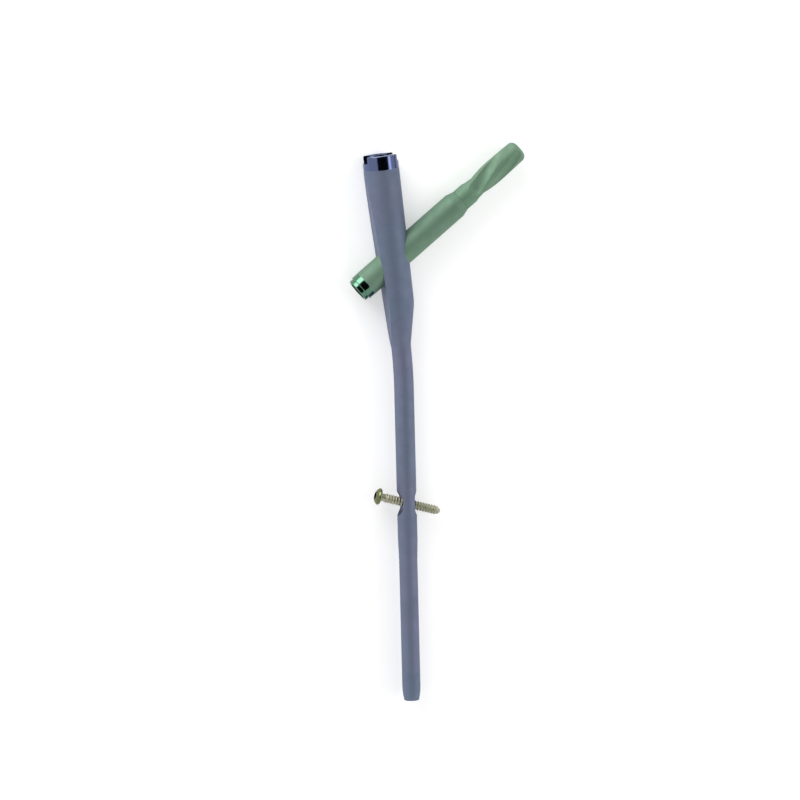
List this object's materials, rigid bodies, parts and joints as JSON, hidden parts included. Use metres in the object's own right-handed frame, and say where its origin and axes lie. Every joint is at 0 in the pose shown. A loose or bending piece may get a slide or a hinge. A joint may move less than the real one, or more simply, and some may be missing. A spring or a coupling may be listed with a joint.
{
  "type": "intramedullary nail",
  "caption": "Cannulated hip nail with a wide bored top, slight bend, helical blade sliding in an oblique bore, and a threaded screw across its distal slot.",
  "frame": {"origin": "on the nail's top axis, in the plane of the two notch floors, 3 mm below the rim", "axes": "+Y along the nail's top axis, out of its rim. +X medial, to the blade's tip. +Z anterior. The part lies on its posterior side."},
  "size_m": [0.0829, 0.2397, 0.0156],
  "materials": {
    "nail_titanium": "blue anodised titanium, glossy",
    "blade_titanium": "green anodised titanium, glossy",
    "plain_titanium": "plain turned titanium",
    "spring_steel": "bright spring steel",
    "screw_titanium": "olive gold anodised titanium, glossy"
  },
  "bodies": {
    "nail": {"nail": "nail_titanium"},
    "sleeve": {"blade_sleeve": "blade_titanium", "bolt_ring": "spring_steel"},
    "bolt": {"lock_bolt": "plain_titanium"},
    "nut": {"draw_nut": "plain_titanium"},
    "blade": {"helical_blade": "blade_titanium", "journal_ring": "spring_steel"},
    "screw": {"locking_screw": "screw_titanium"}
  },
  "joints": [
    {"name": "blade_slide", "type": "slide", "parent": "nail", "child": "sleeve", "axis": [0.831, 0.5563, 0], "range_m": [-0.02, 0.005]},
    {"name": "lock_bolt_turn", "type": "hinge", "parent": "sleeve", "child": "bolt", "pos_m": [0, -0.0436, 0], "axis": [0.831, 0.5563, 0], "range_deg": [-433, 0]},
    {"name": "blade_draw", "type": "slide", "parent": "sleeve", "child": "nut", "axis": [0.831, 0.5563, 0], "range_m": [0, 0.0012]},
    {"name": "blade_spin", "type": "hinge", "parent": "nut", "child": "blade", "pos_m": [0, -0.0436, 0], "axis": [0.831, 0.5563, 0], "continuous": true},
    {"name": "screw_travel", "type": "slide", "parent": "nail", "child": "screw", "axis": [-0.0872, -0.9962, 0], "range_m": [-0.002, 0.002]}
  ],
  "couplings": [
    {"joint": "lock_bolt_turn", "follows": "blade_draw", "rad_per_m": -6283.2}
  ]
}
